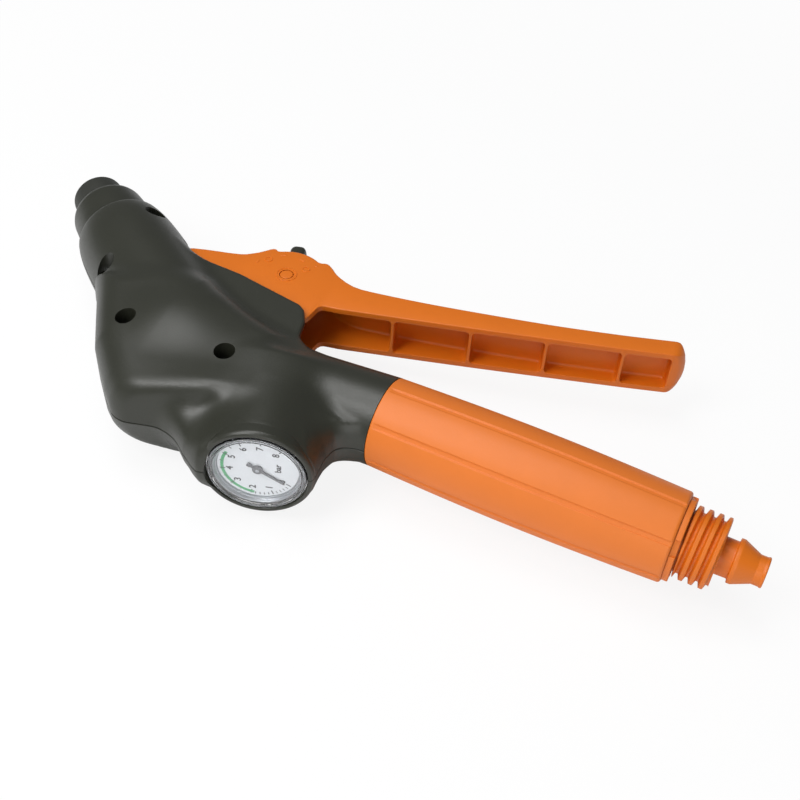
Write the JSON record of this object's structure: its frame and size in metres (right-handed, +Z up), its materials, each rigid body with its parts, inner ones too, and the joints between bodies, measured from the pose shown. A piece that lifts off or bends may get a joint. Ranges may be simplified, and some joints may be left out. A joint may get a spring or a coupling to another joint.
{
  "type": "tire inflator handpiece",
  "caption": "Hand-held tyre inflator: bent pistol housing with dial gauge, squeeze lever, orange grip, threaded hose nipple and angled outlet.",
  "frame": {"origin": "centre of the bounding box's footprint, on the surface that the part lies on", "axes": "+X along the grip towards the hose nipple, +Y towards the squeeze lever's side, +Z up through the flat of the handpiece, square to the plane in which it is bent"},
  "size_m": [0.369, 0.1586, 0.0559],
  "materials": {
    "black_plastic": "satin moulded black",
    "brass": "turned brass",
    "clear_plastic": "clear, polished",
    "dial_white": "matt white enamel",
    "grip_plastic": "matt moulded orange",
    "lever_plastic": "satin moulded orange",
    "rubber": "matt black",
    "steel": "plated steel"
  },
  "bodies": {
    "housing": {"bourdon_tube": "brass", "gauge_case": "steel", "gauge_dial": "dial_white", "gauge_lens": "clear_plastic", "gauge_movement": "brass", "gauge_stem": "brass", "gland_ring": "brass", "grip_end_ring": "grip_plastic", "grip_sleeve": "grip_plastic", "hose_connector": "lever_plastic", "housing_screw_1": "steel", "housing_screw_2": "steel", "housing_screw_3": "steel", "housing_screw_4": "steel", "inlet_filter": "brass", "inlet_tube": "brass", "lever_pivot_pin": "steel", "lower_shell": "black_plastic", "nose_collar": "black_plastic", "nose_tip": "rubber", "outlet_tube": "brass", "stem_seal": "rubber", "upper_shell": "black_plastic", "valve_body": "brass", "valve_cap": "brass", "valve_seat": "rubber", "valve_spring": "steel"},
    "lever": {"lever": "lever_plastic", "catch_pin": "lever_plastic"},
    "catch": {"lock_catch": "black_plastic"},
    "valve": {"valve_stem": "steel"},
    "pointer": {"gauge_pointer": "rubber"}
  },
  "joints": [
    {"name": "lever_squeeze", "type": "hinge", "parent": "housing", "child": "lever", "pos_m": [-0.0993, 0.01628, 0.02797], "axis": [0, 0, 1], "range_deg": [-12, 0], "stiffness_Nm_per_rad": 8, "springref_deg": 8.59},
    {"name": "valve_push", "type": "slide", "parent": "housing", "child": "valve", "axis": [0, -1, 0], "range_m": [0, 0.0036], "deforming": ["valve_spring"]},
    {"name": "catch_turn", "type": "hinge", "parent": "lever", "child": "catch", "pos_m": [-0.0561, 0.03108, 0.02797], "axis": [0, 0, 1], "range_deg": [-36, 11]},
    {"name": "pointer_turn", "type": "hinge", "parent": "housing", "child": "pointer", "pos_m": [-0.0099, -0.07112, 0.02797], "axis": [-0.3387, 0.9409, 0], "range_deg": [0, 278], "stiffness_Nm_per_rad": 0.0005}
  ],
  "couplings": [
    {"joint": "valve_push", "follows": "lever_squeeze", "m_per_rad": -0.017}
  ]
}
